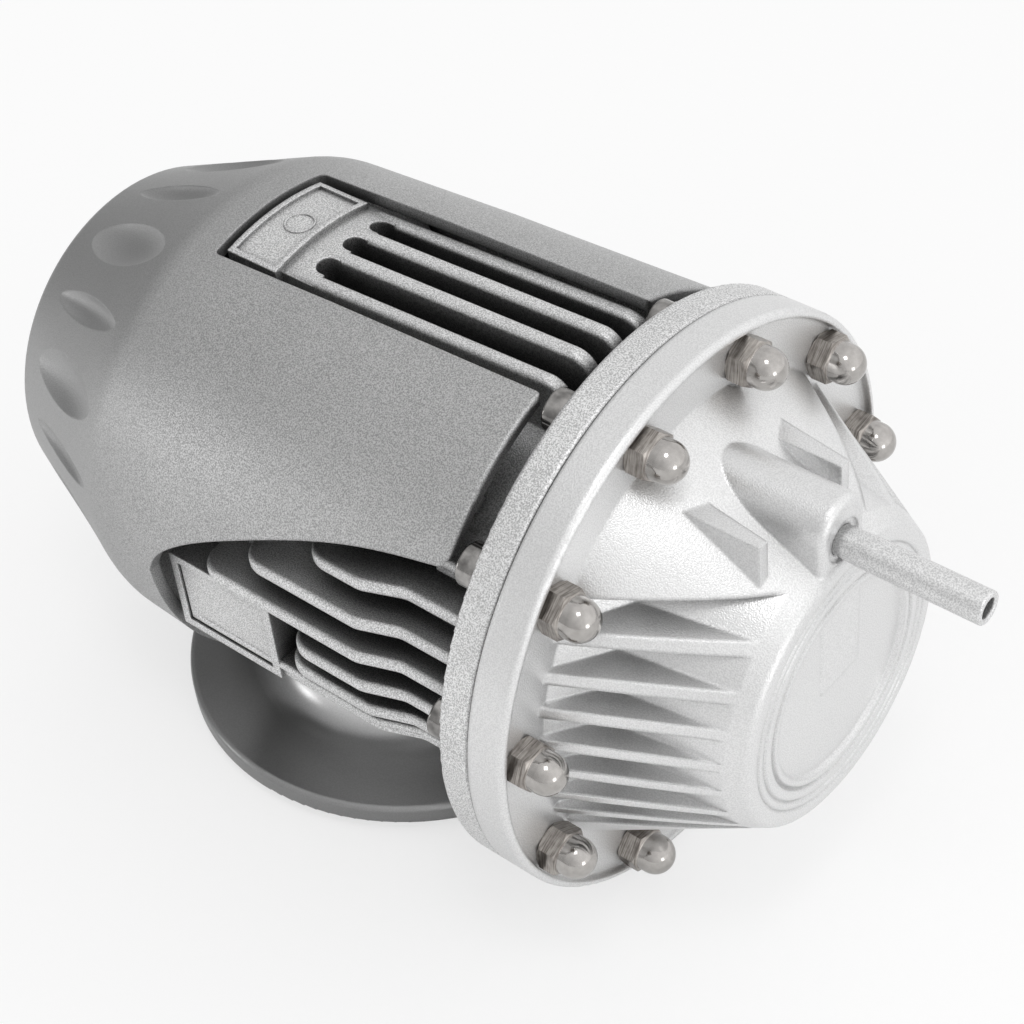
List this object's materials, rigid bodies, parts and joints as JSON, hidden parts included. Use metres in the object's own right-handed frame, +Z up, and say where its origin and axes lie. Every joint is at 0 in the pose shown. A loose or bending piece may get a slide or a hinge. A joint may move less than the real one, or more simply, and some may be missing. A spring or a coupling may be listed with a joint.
{
  "type": "blow off valve",
  "caption": "Vacuum-operated two-stage air relief valve: round flanged inlet below, finned body in a cut-open shroud, ribbed diaphragm cap with hose nipple, rear outlet.",
  "frame": {"origin": "centre of the inlet bore at the inlet flange's lower face", "axes": "+Z up the inlet, +X along the main axis towards the diaphragm cap and nipple, +Y to the far side"},
  "size_m": [0.1685, 0.096, 0.096],
  "materials": {
    "body_casting": "fine grained silver die casting",
    "shroud_metal": "matt bead-blasted silver",
    "cap_casting": "bright satin die casting",
    "nipple_metal": "satin turned tube",
    "nozzle_metal": "fine turned",
    "seal_rubber": "matt black",
    "bush_bronze": "turned bronze",
    "diaphragm_rubber": "matt fabric-backed",
    "plate_metal": "pressed plate",
    "spindle_steel": "ground steel",
    "valve_metal": "fine turned",
    "spring_steel": "drawn spring wire",
    "screw_chrome": "bright plated",
    "nut_chrome": "bright plated"
  },
  "bodies": {
    "housing": {"valve_body": "body_casting", "outer_shroud": "shroud_metal", "diaphragm_cap": "cap_casting", "vacuum_nipple": "nipple_metal", "outlet_nozzle": "nozzle_metal", "inlet_seal": "seal_rubber", "shaft_bush": "bush_bronze", "shaft_seal": "seal_rubber", "diaphragm": "diaphragm_rubber", "main_spring": "spring_steel", "secondary_spring": "spring_steel", "flange_screw_1": "screw_chrome", "flange_screw_2": "screw_chrome", "flange_screw_3": "screw_chrome", "flange_screw_4": "screw_chrome", "flange_screw_5": "screw_chrome", "flange_screw_6": "screw_chrome", "flange_screw_7": "screw_chrome", "flange_screw_8": "screw_chrome", "flange_screw_9": "screw_chrome", "flange_screw_10": "screw_chrome", "cap_nut_1": "nut_chrome", "cap_nut_2": "nut_chrome", "cap_nut_3": "nut_chrome", "cap_nut_4": "nut_chrome", "cap_nut_5": "nut_chrome", "cap_nut_6": "nut_chrome", "cap_nut_7": "nut_chrome", "cap_nut_8": "nut_chrome", "cap_nut_9": "nut_chrome", "cap_nut_10": "nut_chrome"},
    "spindle_set": {"spindle": "spindle_steel", "front_plate": "plate_metal", "rear_plate": "plate_metal", "stem_nut": "spindle_steel", "primary_valve": "valve_metal", "primary_seal": "seal_rubber", "stop_washer": "spindle_steel", "stop_nut": "spindle_steel"},
    "secondary_set": {"secondary_valve": "valve_metal", "secondary_seal": "seal_rubber"}
  },
  "joints": [
    {"name": "spindle_slide", "type": "slide", "parent": "housing", "child": "spindle_set", "axis": [1, 0, 0], "range_m": [0, 0.01], "stiffness_N_per_m": 2500, "springref_m": -0.008, "deforming": ["main_spring", "diaphragm"]},
    {"name": "secondary_slide", "type": "slide", "parent": "housing", "child": "secondary_set", "axis": [1, 0, 0], "range_m": [0, 0.006], "stiffness_N_per_m": 1500, "springref_m": -0.008, "deforming": ["secondary_spring"]}
  ],
  "couplings": [
    {"joint": "secondary_slide", "follows": "spindle_slide", "ratio": 0.6}
  ]
}
